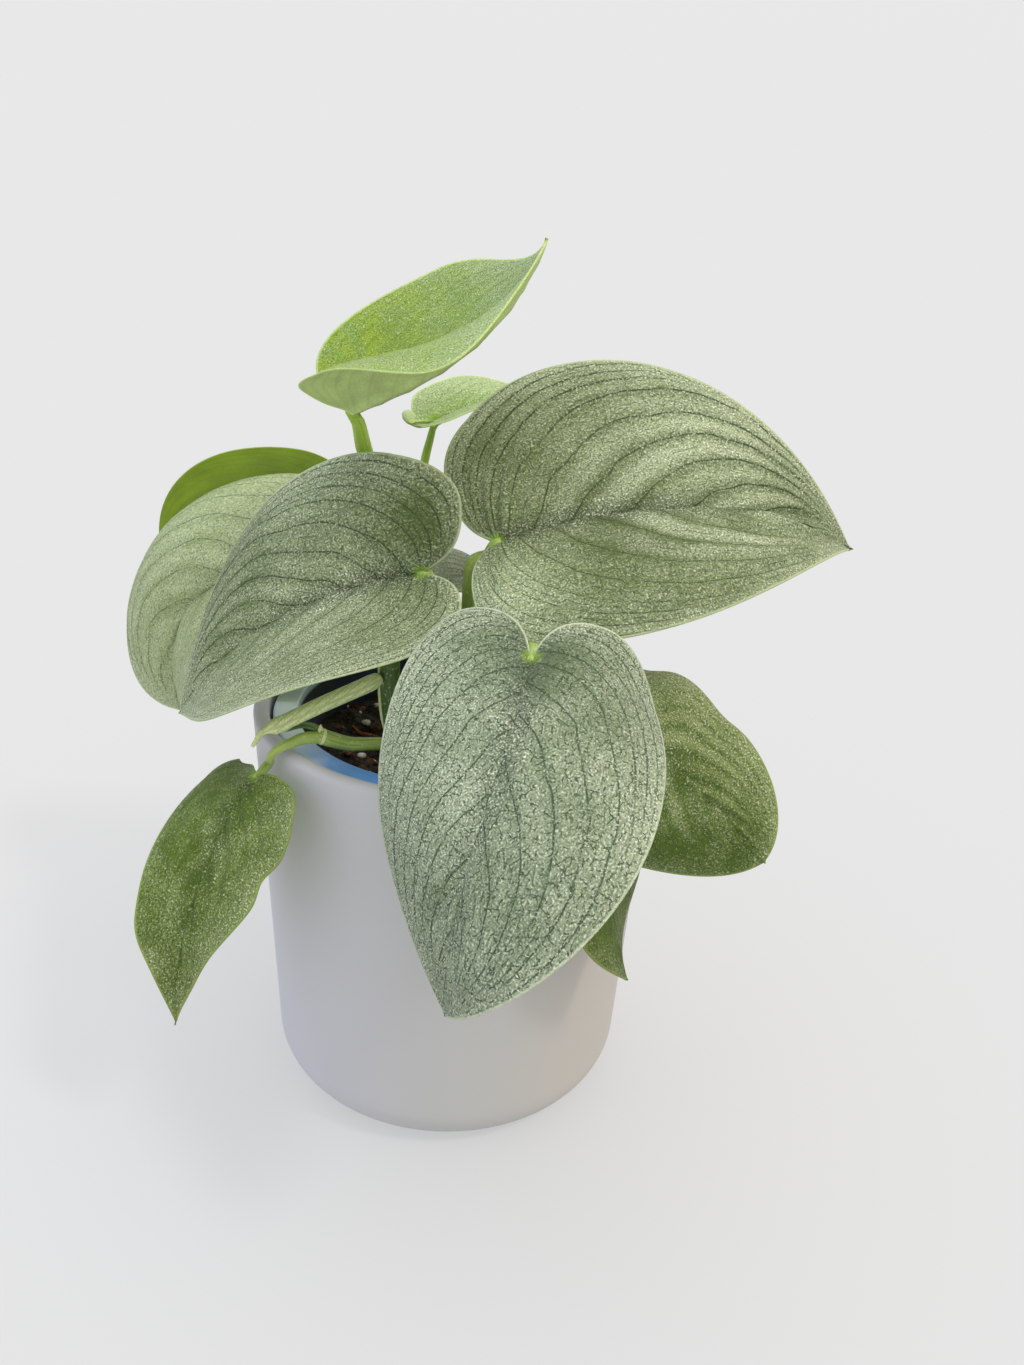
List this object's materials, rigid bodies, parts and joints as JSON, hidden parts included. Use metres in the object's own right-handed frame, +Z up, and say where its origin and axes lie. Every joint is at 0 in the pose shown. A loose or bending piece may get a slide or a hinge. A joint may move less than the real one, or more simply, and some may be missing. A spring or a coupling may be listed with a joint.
{
  "type": "potted satin pothos",
  "caption": "Potted satin pothos: heart-shaped silvery leaves on slim petioles, rooted in a nursery pot that stands in a plain round outer pot.",
  "frame": {"origin": "centre of the outer pot's flat underside", "axes": "+Z up along the outer pot's axis, -Y towards the plant's front as pictured, +X to the viewer's right"},
  "size_m": [0.2633, 0.2671, 0.301],
  "materials": {
    "outer_pot_plastic": "satin white, softly rounded rim",
    "nursery_pot_plastic": "thin light-blue moulded plastic",
    "potting_mix": "dark moist bark and peat with white perlite",
    "stem": "smooth, slightly waxy green",
    "leaf_silver": "satin silver-green with fine dark green veins and a pale rim",
    "leaf_green": "satin olive green with fine silver speckle",
    "leaf_young": "satin lime green, pale beneath"
  },
  "bodies": {
    "root": {"outer_pot": "outer_pot_plastic", "nursery_pot": "nursery_pot_plastic", "potting_mix": "potting_mix", "stem_back": "stem", "stem_front": "stem", "stem_right": "stem", "stem_left": "stem", "stem_rolled_leaf": "stem", "blade_front": "leaf_silver", "blade_right": "leaf_silver", "blade_left": "leaf_silver", "blade_left_behind": "leaf_silver", "blade_centre_small": "leaf_silver", "blade_back_green": "leaf_green", "blade_lower_right": "leaf_green", "blade_low_front": "leaf_green", "blade_hanging_left": "leaf_green", "blade_top_young": "leaf_young", "blade_small_young": "leaf_young", "rolled_leaf": "leaf_young"}
  },
  "joints": []
}
